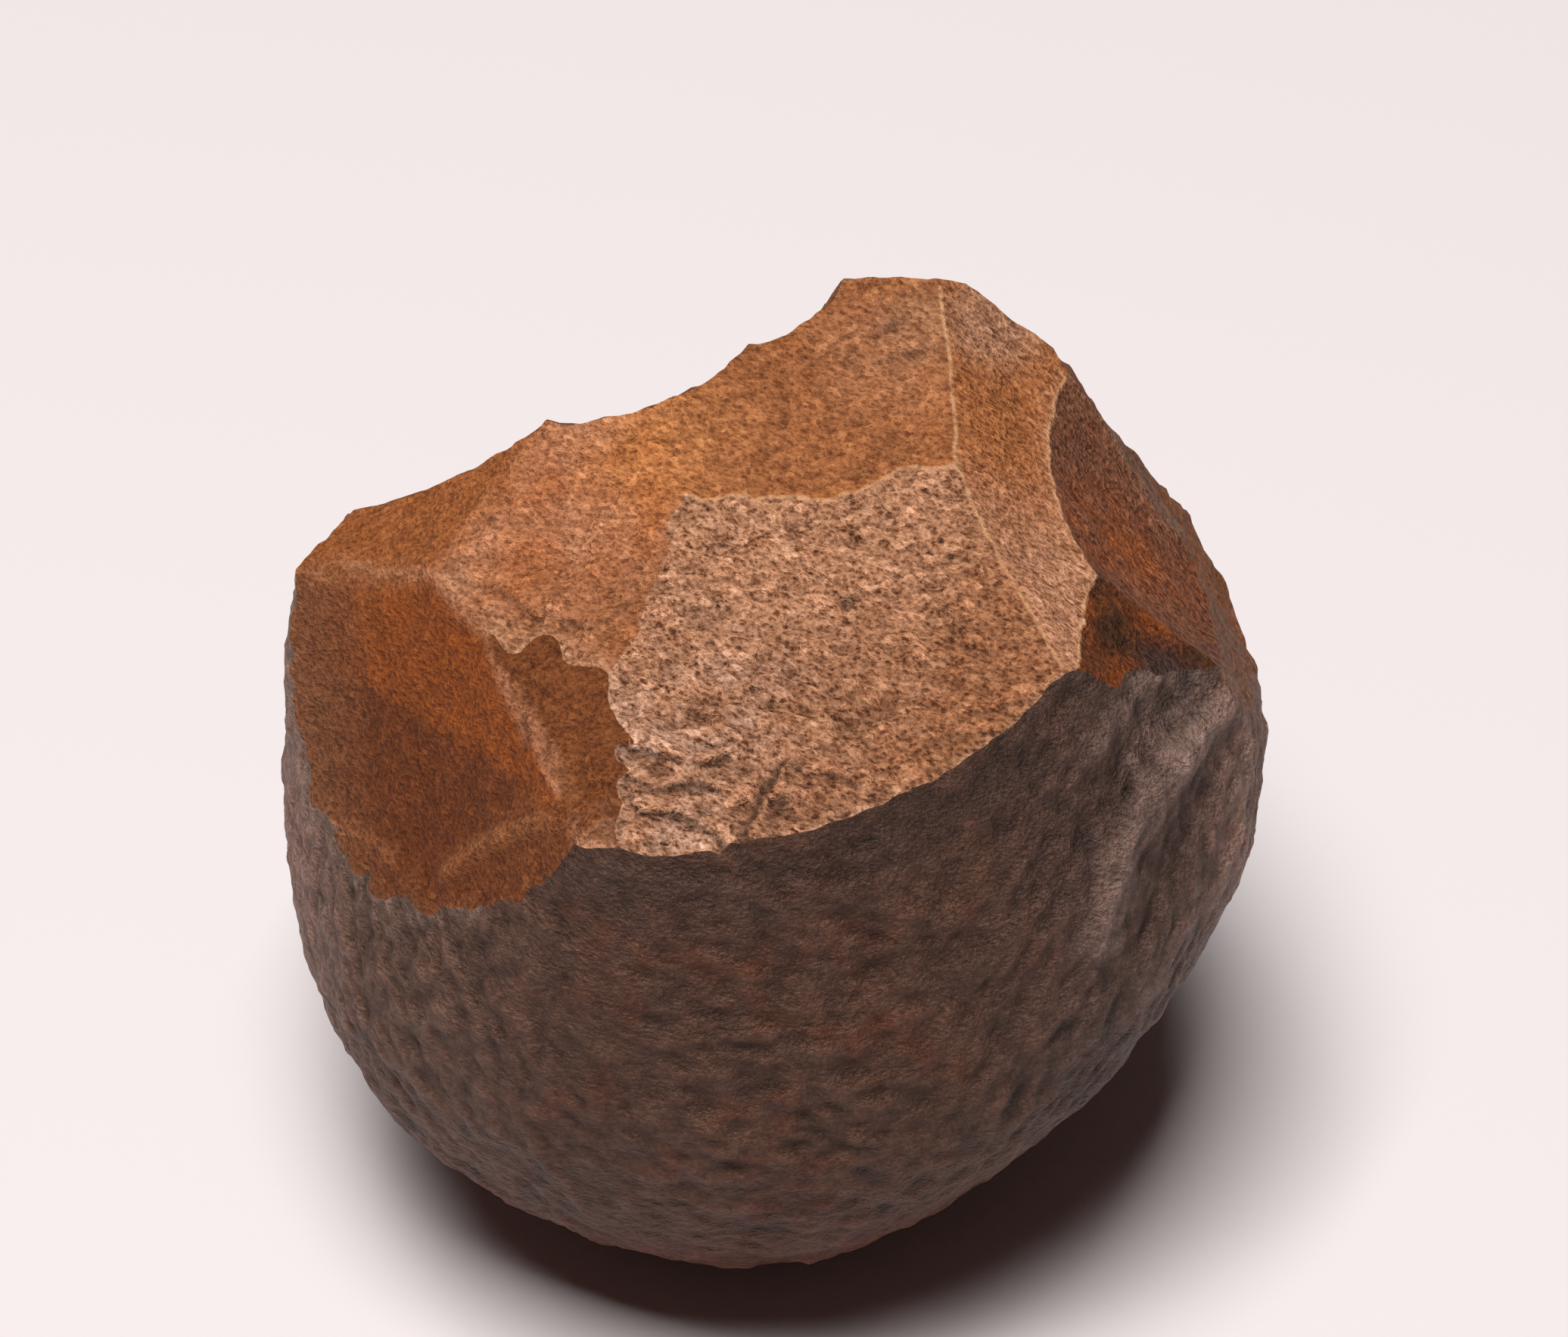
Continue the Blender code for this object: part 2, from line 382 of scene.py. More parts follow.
def relief(points, gap):
    """Fine relief of each zone in millimetres outwards at these points, and its painted shading: painted
    shade in hollows, painted light on crests.

    The swells and knobs die down where the gap to the next zone closes, so that ridges run true.
    """
    clear = 0.3 + 0.7 * ramp(gap, 0.0, 2.0)
    broad = [noise(points, 9.0, 1 + i) for i in range(3)]
    small = [noise(points, 3.4, 5 + i) for i in range(3)]
    tilted = drawn_out(points, GRAIN_RUN, 1.5)
    grain = noise(tilted, 1.7, 9)
    fine = noise(tilted, 1.0, 10)
    rows = np.empty((len(ZONES), len(points)))
    painted_shading_rows = np.empty_like(rows)
    for i, name in enumerate(ZONES):
        swells, knobs, grains, fines = RELIEF["back" if name.startswith("back") else name]
        bumps = clear * knobs * small[(i + 1) % 3] * (1 if i % 4 < 2 else -1)
        rows[i] = clear * swells * broad[i % 3] * (1 if i % 2 else -1) + bumps + grains * grain + fines * fine
        # Painted shading from the knobs, grains and fine grains
        painted_shading_rows[i] = 0.2 * bumps + 0.5 * grains * grain + 1.1 * fines * fine
    small_folds = wrinkles(points, 1.05, 20)
    large_folds = wrinkles(points, 2.1, 24)
    for name in ("skin", "dent"):
        rows[ZONE[name]] += 0.20 * noise(points, 17.0, 18) + 0.26 * small_folds + 0.26 * large_folds
        # Painted shading on the skin's folds
        painted_shading_rows[ZONE[name]] += 0.62 * small_folds + 0.26 * large_folds
    rough = spot(points, (-7.0, -27.5, 69.0), 6.5, 3.0)
    ledges = 0.55 * rough * noise(drawn_out(points, (1.0, 0.0, 0.0), 2.2), 2.0, 28)
    shelves = ramp(-points[:, 1], 8.0, 26.0) * noise(drawn_out(points, (1.0, 0.0, 0.0), 1.8), 2.6, 29)
    rows[ZONE["middle"]] += ledges + 0.25 * shelves
    # Painted shading on the ledges and shelves of the middle scar
    painted_shading_rows[ZONE["middle"]] += 1.3 * ledges + 0.25 * shelves
    for name, path, height, back in STEPS:
        flat = points * np.array((1.0, 1.0, 0.0)) + np.array((0.0, 0.0, CENTRE[2] + 30.0))
        side, past = near_path(flat, [(x, y, CENTRE[2] + 30.0) for x, y in path])
        side = side + 0.40 * grain + 0.45 * small[0]
        near_end = np.exp(-((past / 1.5) ** 2))
        rise = ramp(side, -0.30, 0.30) * np.exp(-np.maximum(side, 0.0) / back)
        rows[ZONE[name]] += height * rise * near_end
        # Painted highlight along the top edge of each step and painted shadow at its foot
        step_shading = 0.8 * np.exp(-(((side - 0.45) / 0.35) ** 2)) - 1.7 * np.exp(-(((side + 0.25) / 0.34) ** 2))
        painted_shading_rows[ZONE[name]] += height * step_shading * near_end
    for names, path, height, width in RIDGES:
        side, _ = near_path(points, path)
        rise = height * np.exp(-((side / width) ** 2))
        for name in names:
            rows[ZONE[name]] += rise
    for name, place, radius, depth in SCAR_PITS:
        rows[ZONE[name]] -= depth * dimple(points, place, radius)
    for place, radius, depth in PITS:
        hollow = depth * dimple(points, place, radius)
        rows -= hollow
        # Painted shade in the small pits
        if radius < 1.5:
            painted_shading_rows -= 1.5 * hollow
    return rows, painted_shading_rows


def wear_table():
    """How much of the gap between two zones is rounded away where they meet."""
    wear = np.full((len(ZONES), len(ZONES)), EDGE_WEAR)
    for a, b, amount in SOFT_RIDGES:
        wear[ZONE[a], ZONE[b]] = wear[ZONE[b], ZONE[a]] = amount
    return wear


def distances(rays):
    """Distance to every zone's surface along every ray, and the painted shading there: a row for each zone.
    """
    rows = np.stack([skin_distance(rays)] + [scar_distance(rays, scar) for scar in SCARS])
    two = np.sort(rows, axis=0)[:2]
    rises, painted_shading = relief(CENTRE + rays * two[0][:, None], two[1] - two[0])
    return rows + rises, painted_shading


def ball():
    """Rays through the points of a cube blown up to a ball, and its squares."""
    step = np.tan(np.linspace(-1.0, 1.0, SQUARES + 1) * math.pi / 4.0)
    u, v = (grid.ravel() for grid in np.meshgrid(step, step, indexing="ij"))
    one = np.ones_like(u)
    sides = [(one, u, v), (-one, v, u), (v, one, u), (u, -one, v), (u, v, one), (v, u, -one)]
    points = np.concatenate([np.stack(side, axis=1) for side in sides])
    corner = np.arange(SQUARES)[:, None] * (SQUARES + 1) + np.arange(SQUARES)[None, :]
    square = np.stack([corner, corner + SQUARES + 1, corner + SQUARES + 2, corner + 1], axis=2).reshape(-1, 4)
    squares = np.concatenate([square + k * (SQUARES + 1) ** 2 for k in range(6)])
    _, first, index = np.unique(np.round(points, 6), axis=0, return_index=True, return_inverse=True)
    rays = points[first] / np.linalg.norm(points[first], axis=1)[:, None]
    return rays, index.reshape(-1)[squares]


def snap_to_ridges(rays, squares, rows):
    """Move the rays nearest to each ridge onto it. Returns the new rays and which were moved."""
    ends = np.concatenate([squares[:, [i, (i + 1) % 4]] for i in range(4)])
    ends = np.unique(np.sort(ends, axis=1), axis=0)
    zone = rows.argmin(axis=0)
    ends = ends[zone[ends[:, 0]] != zone[ends[:, 1]]]
    a, b = ends.T
    gap_a = rows[zone[b], a] - rows[zone[a], a]
    gap_b = rows[zone[a], b] - rows[zone[b], b]
    share = gap_a / (gap_a + gap_b)
    moved_by = np.full(len(rays), 9.0)
    target = rays.copy()
    order = np.argsort(-np.minimum(share, 1.0 - share))
    for who, other, part in ((a, b, share), (b, a, 1.0 - share)):
        for_this = order[part[order] <= 0.5]
        near, far = rays[who[for_this]], rays[other[for_this]]
        crossing = near + (far - near) * part[for_this][:, None]
        better = part[for_this] < moved_by[who[for_this]]
        target[who[for_this][better]] = crossing[better]
        moved_by[who[for_this][better]] = part[for_this][better]
    target /= np.linalg.norm(target, axis=1)[:, None]
    return target, moved_by < 9.0


def make_form():
    """Points, triangles, their zones, ridge points, each point's two nearest zones, gap and painted shading.
    """
    rays, squares = ball()
    rays, on_ridge = snap_to_ridges(rays, squares, distances(rays)[0])
    rows, painted_shading = distances(rays)
    first, second = np.argsort(rows, axis=0)[:2]
    every = np.arange(len(rays))
    gap = rows[second, every] - rows[first, every]
    wear = wear_table()[first, second]
    reach = rows[first, every] - 0.25 * wear * np.maximum(0.0, 1.0 - gap / wear) ** 2
    points = CENTRE + rays * reach[:, None]
    points[:, 2] = np.maximum(points[:, 2], 0.0)
    a, b, c, d = on_ridge[squares].T
    across = b & d & ~(a & c)
    turned = np.where(across[:, None], squares[:, [1, 2, 3, 0]], squares)
    triangles = np.concatenate([turned[:, [0, 1, 2]], turned[:, [0, 2, 3]]])
    a, b, c = points[triangles].transpose(1, 0, 2)
    middle = points[triangles].mean(axis=1)
    normal = np.cross(b - a, c - a)
    inward = np.einsum("ij,ij->i", normal, middle - CENTRE) < 0.0
    triangles[inward] = triangles[inward][:, ::-1]
    zone = (rows[:, triangles[:, 0]] + rows[:, triangles[:, 1]] + rows[:, triangles[:, 2]]).argmin(axis=0)
    return points, triangles, zone, on_ridge, first, second, gap, painted_shading


# Colours


def linear(red, green, blue):
    """Linear colour of one given as it looks on a screen, 0 to 255."""
    c = np.array((red, green, blue)) / 255.0
    return np.where(c <= 0.04045, c / 12.92, ((c + 0.055) / 1.055) ** 2.4)


def mixed(first, second, share):
    """Colours between the two, one for each share."""
    return first + (second - first) * np.clip(share, 0.0, 1.0)[:, None]


def spot(points, centre, radius, soft):
    """1 inside a round spot at this point and 0 outside, with a soft edge."""
    away = np.linalg.norm(points - np.array(centre), axis=1)
    return 1.0 - ramp(away, radius - soft, radius + soft)


def band(points, path, width):
    """1 on a path and falling to 0 beside it over this width."""
    side, _ = near_path(points, path)
    return np.exp(-((side / width) ** 2))


def colours(points, zone):
    """Tone of each point, and how strong the painted light and shade on its grains, its speckles of painted
    shade and its polish are, with 1 as a fourth value.
    """
    cloud = noise(points, 7.0, 30)
    mottle = noise(points, 2.8, 31)
    fleck = noise(points, 1.3, 32)
    patch = 0.6 * cloud + 0.5 * mottle
    tone = np.empty((len(points), 3))
    kind = np.empty((len(points), 4))
    x, y, z = points.T

    def paint(name, colour, grain, speck_shade, polish):
        here = zone == ZONE[name]
        tone[here] = colour[here] if np.ndim(colour) == 2 else colour
        kind[here] = (grain, speck_shade, polish, 1.0)

    back = mixed(linear(116, 66, 34), linear(142, 84, 46), 0.5 + 0.5 * cloud + 0.3 * mottle)
    for name in ZONES:
        paint(name, back, 0.6, 0.3, 0.2)

    skin = mixed(linear(85, 57, 43), linear(91, 50, 31), 0.6 * ramp(patch + 0.4 * fleck, 0.0, 0.9))
    rust = spot(points, (2.0, -38.0, 46.0), 17.0, 12.0)
    skin = mixed(skin, linear(98, 52, 30), 0.5 * rust * ramp(patch, -0.1, 0.6))
    skin = mixed(skin, linear(96, 70, 57), 0.8 * ramp(-x, 14.0, 34.0))
    skin = mixed(skin, linear(80, 60, 52), 0.7 * ramp(x, 14.0, 30.0))
    # Painted sheen towards the left and right sides of the skin
    skin = mixed(skin, linear(141, 108, 95), 0.8 * ramp(np.abs(x), 35.0, 43.0))
    skin = mixed(skin, linear(85, 32, 9), 0.8 * ramp(-z, -38.0, -8.0) * ramp(patch, -1.2, 0.3))
    # Painted highlight along the skin's ridge
    ridge = 0.75 * band(points, RIDGE_FOOT, 1.9) + 0.85 * band(points, RIDGE_TOP, 1.5)
    skin = mixed(skin, linear(146, 118, 106), ridge)
    skin = mixed(skin, linear(138, 112, 100), 0.7 * band(points, RIB, 0.8) + 0.4 * band(points, STREAK, 1.2))
    # Painted shade in the trough and the hollow
    dip_shade = 0.45 * band(points, TROUGH, 1.8) + 0.35 * band(points, HOLLOW, 1.6)
    skin = mixed(skin, linear(62, 46, 40), dip_shade)
    skin = mixed(skin, linear(128, 100, 88), 0.5 * band(points, PALE_FOOT, 3.0))
    # Painted shade in the hollow below the right scars
    skin = mixed(skin, linear(56, 44, 42), 0.8 * spot(points, (34.4, -12.6, 68.8), 3.6, 2.4))
    skin = mixed(skin, linear(98, 58, 38), 0.6 * band(points, BROWN_STRIP, 1.2))
    skin = mixed(skin, linear(56, 42, 37), 0.5 * band(points, UNDER_RIM, 3.2))
    paint("skin", skin, 0.42, 0.3, 1.0)
    paint("dent", mixed(skin, linear(128, 102, 90), 0.5 + 0.4 * mottle), 0.45, 0.3, 0.9)

    middle = mixed(linear(166, 115, 83), linear(140, 88, 57), 0.5 + 0.5 * mottle + 0.3 * fleck)
    pale = spot(points, (-9.5, -20.0, 71.0), 11.0, 7.0) * ramp(patch, -0.4, 0.5)
    middle = mixed(middle, linear(186, 142, 116), 0.7 * pale)
    pale_foot = band(points, ((-8.5, -32.0, 68.4), (-5.5, -33.5, 68.0)), 1.8)
    middle = mixed(middle, linear(186, 142, 116), 0.7 * pale_foot)
    middle = mixed(middle, linear(184, 130, 96), 0.6 * ramp(y - 0.3 * x, -20.0, -8.0))
    middle = mixed(middle, linear(150, 92, 54), 0.5 * ramp(x - 0.3 * y, 14.0, 24.0))
    paint("middle", middle, 1.0, 0.8, 0.0)
    crown = mixed(linear(164, 101, 59), linear(144, 85, 46), 0.5 + 0.6 * patch + 0.3 * fleck)
    crown = mixed(crown, linear(158, 112, 80), 0.6 * spot(points, (13.5, 18.0, 83.3), 3.4, 2.0))
    crown = mixed(crown, linear(106, 62, 40), 0.5 * spot(points, (10.3, 18.4, 83.0), 1.3, 1.2))
    crown = mixed(crown, linear(192, 122, 70), 0.6 * spot(points, (-9.9, 7.4, 78.2), 7.0, 5.0))
    crown = mixed(crown, linear(182, 122, 84), 0.5 * spot(points, (10.5, 16.0, 82.5), 6.0, 4.0))
    paint("crown", crown, 0.68, 0.6, 0.1)
    strip = mixed(linear(158, 95, 52), linear(177, 121, 89), ramp(-y + 0.35 * z, 22.0, 32.0))
    strip = mixed(strip, linear(166, 120, 92), 0.75 * spot(points, (19.7, 19.2, 82.4), 4.5, 2.5))
    paint("strip", mixed(strip, linear(134, 78, 42), 0.4 * ramp(patch, 0.1, 0.7)), 0.8, 0.5, 0.1)
    wedge = mixed(linear(109, 58, 26), linear(128, 71, 33), 0.5 + 0.7 * patch)
    # Painted highlight at the wedge's lower end
    pale = spot(points, (-15.0, -31.0, 67.4), 2.6, 1.6) * ramp(fleck, -0.5, 0.4)
    wedge = mixed(wedge, linear(164, 112, 80), 0.8 * pale)
    paint("wedge", wedge, 0.65, 0.5, 0.1)
    left = mixed(linear(104, 52, 20), linear(138, 69, 22), ramp(z + 0.25 * y, 58.6, 60.4) * 0.9 + 0.3 * patch)
    # Painted highlight along the top rim of the left scar
    left = mixed(left, linear(186, 128, 92), 0.7 * band(points, TOP_RIM_HIGHLIGHT, 0.45))
    left = mixed(left, linear(118, 72, 44), 0.8 * ramp(-x, 33.0, 41.0))
    lines = 0.8 * band(points, FOOT_FOLD, 0.9) + 0.6 * band(points, LEFT_STREAK, 0.6)
    left = mixed(left, linear(160, 100, 60), lines)
    paint("left", left, 0.5, 0.5, 0.1)
    paint("left_foot", mixed(left, linear(132, 74, 36), 0.5 + 0.4 * patch), 0.6, 0.5, 0.1)
    shoulder = mixed(linear(170, 100, 56), linear(188, 126, 89), 0.45 + 0.8 * patch)
    shoulder = mixed(shoulder, linear(151, 92, 55), 0.7 * ramp(-y, 0.0, 8.0))
    shoulder = mixed(shoulder, linear(188, 116, 58), 0.6 * spot(points, (-9.9, 7.4, 78.2), 6.0, 4.0))
    # Painted highlight on the shoulder beside the left scar's top rim
    shoulder = mixed(shoulder, linear(182, 128, 94), 0.6 * spot(points, (-28.5, -2.0, 70.4), 2.4, 1.6))
    paint("shoulder", shoulder, 0.7, 0.4, 0.1)
    left_top = mixed(linear(149, 84, 39), linear(163, 96, 51), 0.4 + 0.7 * patch)
    # Painted highlight along the top rim of the left scar
    left_top = mixed(left_top, linear(186, 128, 92), 0.7 * band(points, TOP_RIM_HIGHLIGHT, 0.45))
    paint("left_top", left_top, 0.55, 0.4, 0.15)
    low = ramp(97.2 - 0.82 * x - 0.02 * y - z + 0.4 * patch, -0.8, 1.4)
    right = mixed(linear(120, 72, 48), linear(162, 78, 8), low)
    paint("right", mixed(right, linear(88, 56, 42), 0.45 * ramp(patch, 0.0, 0.6)), 0.8, 0.5, 0.2)
    right_low = mixed(linear(128, 62, 20), linear(70, 38, 14), 0.45 + 1.1 * patch)
    # Painted shade in the same hollow, where it reaches this scar
    right_low = mixed(right_low, linear(56, 44, 42), 0.8 * spot(points, (34.4, -12.6, 69.2), 3.2, 2.2))
    paint("right_low", right_low, 0.8, 0.6, 0.1)
    paint("right_edge", mixed(linear(124, 92, 74), linear(116, 70, 42), 0.5 + 0.6 * patch), 0.6, 0.4, 0.2)
    paint("back_rim", mixed(linear(120, 88, 70), linear(130, 80, 48), 0.5 + 0.6 * patch), 0.6, 0.3, 0.3)
    return tone, kind


# The stone as an object


def crest_highlight_distance(points, on_ridge, first, second):
    """Distance of each point to the nearest ridge whose crest carries a painted highlight, in millimetres."""
    keep = np.zeros(len(points), bool)
    for a, b in HIGHLIT_CRESTS:
        keep |= on_ridge & (first == ZONE[a]) & (second == ZONE[b])
        keep |= on_ridge & (first == ZONE[b]) & (second == ZONE[a])
    spots = points[keep]
    tree = KDTree(len(spots))
    for i, p in enumerate(spots):
        tree.insert(p, i)
    tree.balance()
    near = np.full(len(points), 5.0)
    box = (points > spots.min(axis=0) - 3.0).all(axis=1) & (points < spots.max(axis=0) + 3.0).all(axis=1)
    for i in np.flatnonzero(box):
        near[i] = min(tree.find(points[i])[2], 5.0)
    return near


def corner_colours(points, triangles, zone, first, second, gap, painted_shading):
    """Tone and kind of every triangle corner, blended across the ridges that are worn round."""
    every = np.arange(len(points))
    corner = triangles.ravel()
    owner = np.repeat(zone, 3)

    def toned(which, other, at):
        """Tone and kind at some points taken as parts of one zone that nears another."""
        tone, kind = colours(points[at], which)
        # Painted highlights along the rims
        for name, neighbour, colour, strength, width in RIM_HIGHLIGHTS:
            near = (which == ZONE[name]) & (other == ZONE[neighbour])
            share = strength * np.exp(-gap[at] / width) * near
            tone = mixed(tone, linear(*colour), share)
        # Painted shade in hollows and painted light on crests
        shade = np.clip(1.0 + PAINTED_SHADING_STRENGTH * painted_shading[which, at], 0.35, 1.55)
        return tone * shade[:, None], kind

    one = toned(first, second, every)
    two = toned(second, first, every)
    is_first = owner == first[corner]
    is_second = owner == second[corner]
    wear = wear_table()[first, second]
    share = np.where(wear > EDGE_WEAR, 0.5 * (1.0 - ramp(gap, 0.0, wear)), 0.0)[corner][:, None]
    odd = ~(is_first | is_second)
    extra = toned(owner[odd], first[corner[odd]], corner[odd])
    result = []
    for part in (0, 1):
        a, b = one[part][corner], two[part][corner]
        value = np.where(is_second[:, None] & ~is_first[:, None], b + (a - b) * share, a + (b - a) * share)
        value[odd] = extra[part]
        result.append(value)
    return result


def make_stone():
    """The stone's mesh object, with its colours as attributes."""
    points, triangles, zone, on_ridge, first, second, gap, painted_shading = make_form()
    mesh = bpy.data.meshes.new("stone")
    mesh.from_pydata((points * MM).tolist(), [], triangles.tolist())
    mesh.update()
    corner_zone = np.repeat(zone, 3)
    tone, kind = corner_colours(points, triangles, zone, first, second, gap, painted_shading)
    for name, value in (("tone", np.column_stack([tone, np.ones(len(tone))])), ("kind", kind)):
        layer = mesh.color_attributes.new(name, "FLOAT_COLOR", "CORNER")
        layer.data.foreach_set("color", value.ravel())
    layer = mesh.attributes.new("crest", "FLOAT", "POINT")
    layer.data.foreach_set("value", crest_highlight_distance(points, on_ridge, first, second))
    edge_of = np.empty(len(corner_zone), np.int32)
    mesh.loops.foreach_get("edge_index", edge_of)
    low = np.full(len(mesh.edges), 999)
    high = np.full(len(mesh.edges), -1)
    np.minimum.at(low, edge_of, corner_zone)
    np.maximum.at(high, edge_of, corner_zone)
    mesh.shade_smooth()
    sharp = mesh.attributes.new("sharp_edge", "BOOLEAN", "EDGE")
    sharp.data.foreach_set("value", (low != high) & (wear_table()[low, high] <= EDGE_WEAR))
    stone = bpy.data.objects.new("stone", mesh)
    bpy.context.scene.collection.objects.link(stone)
    return stone


# Materials


class Graph:
    """Short way to add shader nodes and join them."""

    def __init__(self, material):
        self.tree = material.node_tree

    def add(self, kind, settings=None, **inputs):
        """Node of this kind, with settings and with inputs given by socket name or number."""
        made = self.tree.nodes.new(kind)
        for key, value in (settings or {}).items():
            setattr(made, key, value)
        for key, value in inputs.items():
            socket = made.inputs[int(key[1:])] if key[0] == "n" and key[1:].isdigit() else made.inputs[key]
            self.feed(socket, value)
        return made

    def feed(self, socket, value):
        """Join a socket to another one, or set its value."""
        if isinstance(value, bpy.types.NodeSocket):
            self.tree.links.new(value, socket)
        else:
            socket.default_value = value

    def math(self, operation, a, b=0.0):
        """Result of a sum on two values."""
        return self.add("ShaderNodeMath", {"operation": operation}, n0=a, n1=b).outputs[0]

    def noise(self, place, size, detail):
        """Noise whose grains are about size millimetres across."""
        scale = 1.0 / (size * MM)
        made = self.add("ShaderNodeTexNoise", Vector=place, Scale=scale, Detail=detail, Roughness=0.6)
        return made.outputs["Factor"] if "Factor" in made.outputs else made.outputs["Fac"]

    def drawn_out(self, place, along, ratio):
        """Place squeezed along a direction, so that a noise read there is drawn out that way."""
        unit = tuple(np.array(along) / np.linalg.norm(along))
        at = self.add("ShaderNodeVectorMath", {"operation": "DOT_PRODUCT"}, n0=place, n1=unit)
        back = self.math("MULTIPLY", at.outputs["Value"], 1.0 - 1.0 / ratio)
        part = self.add("ShaderNodeVectorMath", {"operation": "SCALE"}, n0=unit, Scale=back).outputs["Vector"]
        rest = self.add("ShaderNodeVectorMath", {"operation": "SUBTRACT"}, n0=place, n1=part)
        return rest.outputs["Vector"]

    def span(self, value, low, high, out_low=0.0, out_high=1.0):
        """Value carried from one span to another, held at both ends."""
        made = self.add("ShaderNodeMapRange", Value=value)
        for i, number in enumerate((low, high, out_low, out_high)):
            made.inputs[1 + i].default_value = number
        return made.outputs["Result"]

    def mix(self, share, a, b, blend="MIX"):
        """Colour between two others."""
        made = self.add("ShaderNodeMix", {"data_type": "RGBA", "blend_type": blend}, n0=share, n6=a, n7=b)
        return made.outputs[2]


def stone_material():
    """Weathered quartzite: toned by zone, with painted light, shade and glints on its grains, speckles of
    painted shade, painted highlights on ridge crests and a worn, wrinkled skin.
    """
    material = bpy.data.materials.new("weathered_quartzite")
    material.use_nodes = True
    g = Graph(material)
    shader = material.node_tree.nodes["Principled BSDF"]
    place = g.add("ShaderNodeTexCoord").outputs["Object"]
    tone = g.add("ShaderNodeAttribute", {"attribute_name": "tone"}).outputs["Color"]
    kind = g.add("ShaderNodeAttribute", {"attribute_name": "kind"})
    crest = g.add("ShaderNodeAttribute", {"attribute_name": "crest"}).outputs["Fac"]
    grain, speck_shade, polish = g.add("ShaderNodeSeparateColor", Color=kind.outputs["Color"]).outputs
    tilted = g.drawn_out(place, GRAIN_RUN, 1.5)
    crystals = g.noise(tilted, CRYSTAL_SIZE, 2.0)
    coarse = g.noise(tilted, COARSE_SIZE, 1.0)
    cells = g.add("ShaderNodeTexVoronoi", Vector=tilted, Scale=1.0 / (FACET_SIZE * MM)).outputs["Color"]
    facets = g.add("ShaderNodeSeparateColor", Color=cells).outputs["Red"]
    # Painted light and shade on the grains, and painted glints on the brightest facets, multiplied into the
    # tone
    blend = g.math("ADD", g.math("MULTIPLY", crystals, 0.7), g.math("MULTIPLY", coarse, 0.3))
    light = g.math("ADD", g.span(blend, 0.38, 0.62, -0.9, 0.9), g.math("SUBTRACT", facets, 0.5))
    bright = g.math("ADD", 1.0, g.math("MULTIPLY", light, g.math("MULTIPLY", grain, 0.66)))
    glints = g.span(facets, 0.84, 0.98)
    bright = g.math("ADD", bright, g.math("MULTIPLY", glints, g.math("MULTIPLY", grain, 0.40)))
    bright = g.math("MAXIMUM", bright, 0.05)
    shades = [g.math("POWER", bright, power) for power in (0.85, 1.05, 1.25)]
    shade = g.add("ShaderNodeCombineColor", Red=shades[0], Green=shades[1], Blue=shades[2]).outputs[0]
    colour = g.mix(1.0, tone, shade, "MULTIPLY")
    # Speckles of painted shade in the gaps between the grains, where the bump is lowest
    dark = g.math("MULTIPLY", g.span(crystals, 0.40, 0.28), speck_shade)
    colour = g.mix(g.math("MULTIPLY", dark, 0.32), colour, (0.085, 0.034, 0.018, 1.0))
    # Painted highlight along the ridge crests
    pale = g.math("MULTIPLY", g.span(crest, 0.08, 0.28, 1.0, 0.0), g.span(coarse, 0.35, 0.6, 0.25, 0.85))
    colour = g.mix(pale, colour, (0.68, 0.36, 0.18, 1.0))
    g.feed(shader.inputs["Base Color"], colour)
    shader.inputs["Specular IOR Level"].default_value = 0.25
    rough = g.math("SUBTRACT", 0.68, g.math("MULTIPLY", polish, g.span(coarse, 0.35, 0.65, 0.10, 0.20)))
    g.feed(shader.inputs["Roughness"], rough)
    height = g.math("ADD", blend, g.math("MULTIPLY", facets, 0.12))
    bump = g.add("ShaderNodeBump", Strength=1.0, Distance=BUMP_DEPTH * MM, Height=height)
    g.feed(shader.inputs["Normal"], bump.outputs["Normal"])
    return material


def plain_material(name, colour, roughness):
    """Even matt finish."""
    material = bpy.data.materials.new(name)
    material.use_nodes = True
    shader = material.node_tree.nodes["Principled BSDF"]
    shader.inputs["Base Color"].default_value = (*colour, 1.0)
    shader.inputs["Roughness"].default_value = roughness
    shader.inputs["Specular IOR Level"].default_value = 0.2
    return material


# Floor, light, camera and surroundings


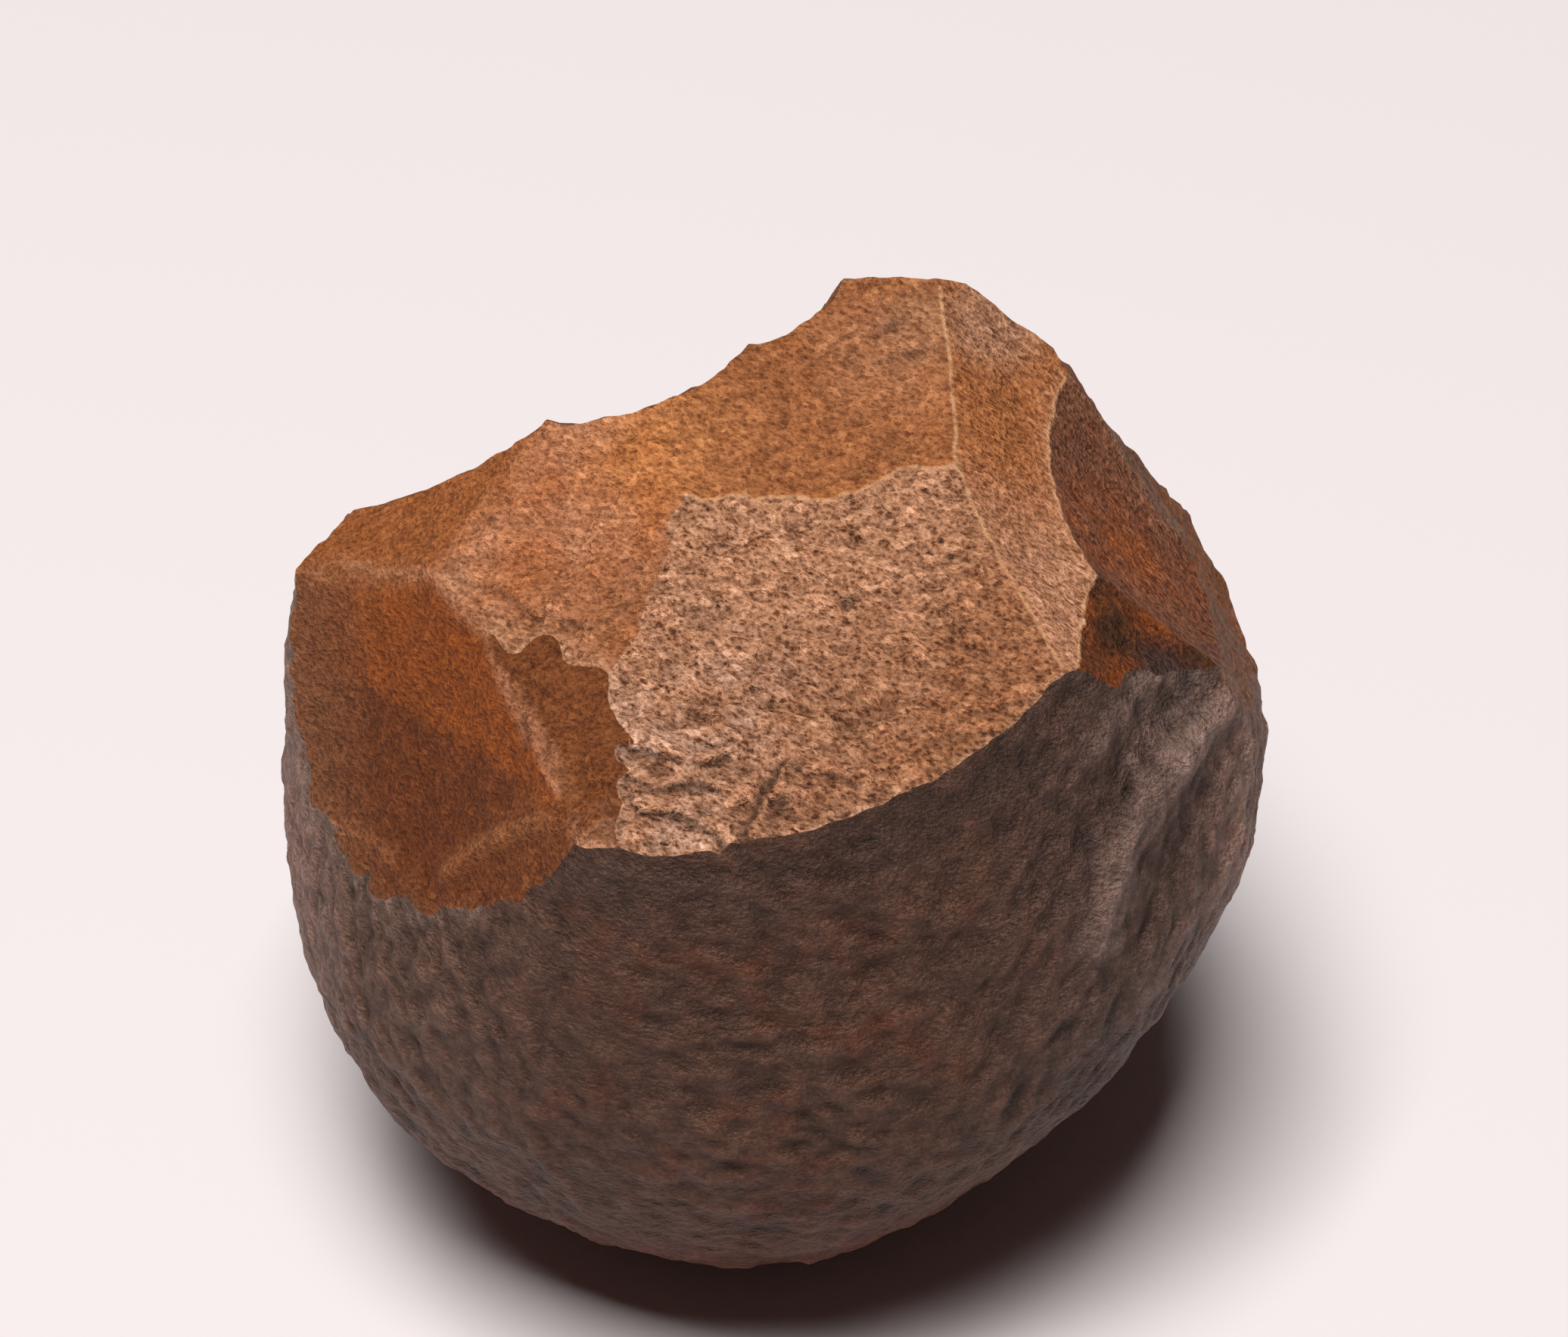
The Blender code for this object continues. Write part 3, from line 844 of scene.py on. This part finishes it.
def make_floor():
    """Wide pale floor under the stone."""
    corners = [(x * FLOOR_HALF, y * FLOOR_HALF, 0.0) for x, y in ((-1, -1), (1, -1), (1, 1), (-1, 1))]
    mesh = bpy.data.meshes.new("floor")
    mesh.from_pydata(corners, [], [(0, 1, 2, 3)])
    floor = bpy.data.objects.new("floor", mesh)
    mesh.materials.append(plain_material("pale_floor", FLOOR_COLOUR, 0.9))
    bpy.context.scene.collection.objects.link(floor)
    return floor


def make_light(name, place, aim, size, power, colour):
    """Square soft light at a place, turned to a point, both in metres."""
    data = bpy.data.lights.new(name, "AREA")
    data.shape = "SQUARE"
    data.size = size
    data.energy = power
    data.color = colour
    light = bpy.data.objects.new(name, data)
    light.location = place
    light.rotation_euler = (Vector(aim) - Vector(place)).to_track_quat("-Z", "Y").to_euler()
    bpy.context.scene.collection.objects.link(light)


def make_camera():
    """Camera at the photograph's angle."""
    data = bpy.data.cameras.new("camera")
    data.lens = CAMERA_LENS
    data.sensor_width = 36.0
    data.clip_start = 0.01
    camera = bpy.data.objects.new("camera", data)
    back = Vector((0.0, -math.cos(math.radians(CAMERA_ELEVATION)), math.sin(math.radians(CAMERA_ELEVATION))))
    camera.location = (Vector(CAMERA_TARGET) + back * CAMERA_DISTANCE) * MM
    camera.rotation_euler = Euler((math.radians(90.0 - CAMERA_ELEVATION), 0.0, 0.0))
    bpy.context.scene.collection.objects.link(camera)
    bpy.context.scene.camera = camera


def make_world():
    """Even pale surroundings."""
    world = bpy.data.worlds.new("studio")
    world.use_nodes = True
    surround = world.node_tree.nodes["Background"]
    surround.inputs["Color"].default_value = SURROUND_COLOUR
    surround.inputs["Strength"].default_value = SURROUND_STRENGTH
    bpy.context.scene.world = world


stone = make_stone()
stone.data.materials.append(stone_material())
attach(stone, "root")
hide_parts("chopping_tool")
floor = make_floor()
make_light("overhead", LIGHT_PLACE, LIGHT_AIM, LIGHT_SIZE, LIGHT_POWER, LIGHT_COLOUR)
make_camera()
make_world()
bpy.context.scene.view_settings.view_transform = "Standard"
bpy.context.scene.view_settings.look = "None"
